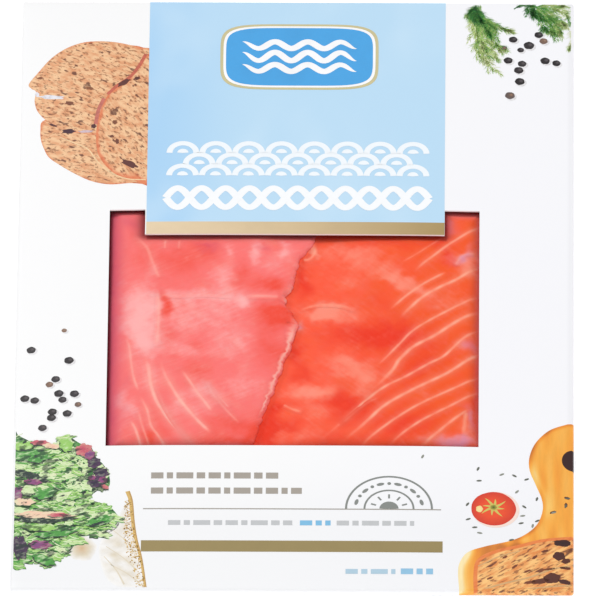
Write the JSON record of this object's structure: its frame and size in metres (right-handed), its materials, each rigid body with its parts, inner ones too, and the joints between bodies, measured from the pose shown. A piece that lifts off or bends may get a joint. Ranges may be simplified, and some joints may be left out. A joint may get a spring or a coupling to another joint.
{
  "type": "pack of smoked salmon",
  "caption": "Flat white printed card wallet with a tabbed window that shows sliced smoked salmon sealed in a clear pouch; a chilled food pack that lies flat.",
  "frame": {"origin": "middle of the pack's outline, on the flat back that it lies on", "axes": "+X to the right of the printed front, +Y towards its top, +Z out of the front"},
  "size_m": [0.147, 0.214, 0.0048],
  "materials": {
    "card": "white coated board, satin, with printed fields of sky blue, gold and small food motifs",
    "film": "clear glossy vacuum film with fine wrinkles",
    "flesh_pink": "moist pink salmon flesh with pale lines of fat",
    "flesh_orange": "moist orange salmon flesh with pale lines of fat"
  },
  "bodies": {
    "root": {"sleeve": "card", "pouch": "film", "slice_left": "flesh_pink", "slice_right": "flesh_orange"}
  },
  "joints": []
}
